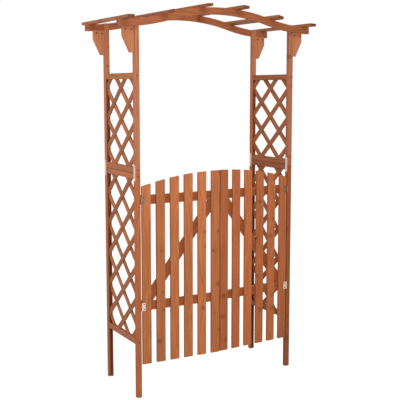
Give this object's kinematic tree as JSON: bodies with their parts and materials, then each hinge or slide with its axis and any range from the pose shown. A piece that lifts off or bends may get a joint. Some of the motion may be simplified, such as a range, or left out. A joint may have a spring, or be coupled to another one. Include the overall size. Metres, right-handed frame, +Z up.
{
  "type": "wooden garden arch with a two-leaf picket gate",
  "caption": "Free-standing garden arch of stained softwood with trellis sides, a curved slatted top and a picket gate that opens outward in two leaves.",
  "frame": {"origin": "on the ground, at the middle of the plan", "axes": "+Z up, +X along the arched beams to the right as seen from the gate side, +Y from the gate to the back"},
  "size_m": [1.152, 0.572, 2.0031],
  "materials": {
    "post_wood": "reddish brown stained fir, planed, semi-matt",
    "rail_wood": "reddish brown stained fir, planed, semi-matt",
    "lattice_wood": "reddish brown stained fir strips, sawn, matt",
    "roof_wood": "reddish brown stained fir, planed, semi-matt",
    "gate_wood": "reddish brown stained fir, planed, semi-matt",
    "zinc_hinges": "bright zinc-plated steel",
    "zinc_plates": "bright zinc-plated steel"
  },
  "bodies": {
    "arch": {"lower_post_front_left": "post_wood", "lower_post_back_left": "post_wood", "lower_post_front_right": "post_wood", "lower_post_back_right": "post_wood", "upper_post_front_left": "post_wood", "upper_post_back_left": "post_wood", "upper_post_front_right": "post_wood", "upper_post_back_right": "post_wood", "bottom_rail_left": "rail_wood", "bottom_rail_right": "rail_wood", "lower_panel_top_rail_left": "rail_wood", "lower_panel_top_rail_right": "rail_wood", "upper_panel_bottom_rail_left": "rail_wood", "upper_panel_bottom_rail_right": "rail_wood", "top_rail_left": "rail_wood", "top_rail_right": "rail_wood", "lower_lattice_left": "lattice_wood", "lower_lattice_right": "lattice_wood", "upper_lattice_left": "lattice_wood", "upper_lattice_right": "lattice_wood", "joint_plates_left": "zinc_plates", "joint_plates_right": "zinc_plates", "brackets_left": "roof_wood", "brackets_right": "roof_wood", "front_beam": "roof_wood", "back_beam": "roof_wood", "roof_slat_1": "roof_wood", "roof_slat_2": "roof_wood", "roof_slat_3": "roof_wood", "roof_slat_4": "roof_wood", "roof_slat_5": "roof_wood", "roof_slat_6": "roof_wood", "post_hinge_leaves_left": "zinc_hinges", "post_hinge_leaves_right": "zinc_hinges"},
    "gate_left": {"gate_left_pickets": "gate_wood", "gate_left_top_rail": "gate_wood", "gate_left_bottom_rail": "gate_wood", "gate_left_brace": "gate_wood", "gate_left_hinge_leaves": "zinc_hinges"},
    "gate_right": {"gate_right_pickets": "gate_wood", "gate_right_top_rail": "gate_wood", "gate_right_bottom_rail": "gate_wood", "gate_right_brace": "gate_wood", "gate_right_hinge_leaves": "zinc_hinges"}
  },
  "joints": [
    {"name": "gate_left_hinge", "type": "hinge", "parent": "arch", "child": "gate_left", "pos_m": [-0.45175, -0.194, 0.745], "axis": [0, 0, -1], "range_deg": [-3, 177]},
    {"name": "gate_right_hinge", "type": "hinge", "parent": "arch", "child": "gate_right", "pos_m": [0.45175, -0.194, 0.745], "axis": [0, 0, 1], "range_deg": [-2.5, 177.5]}
  ]
}
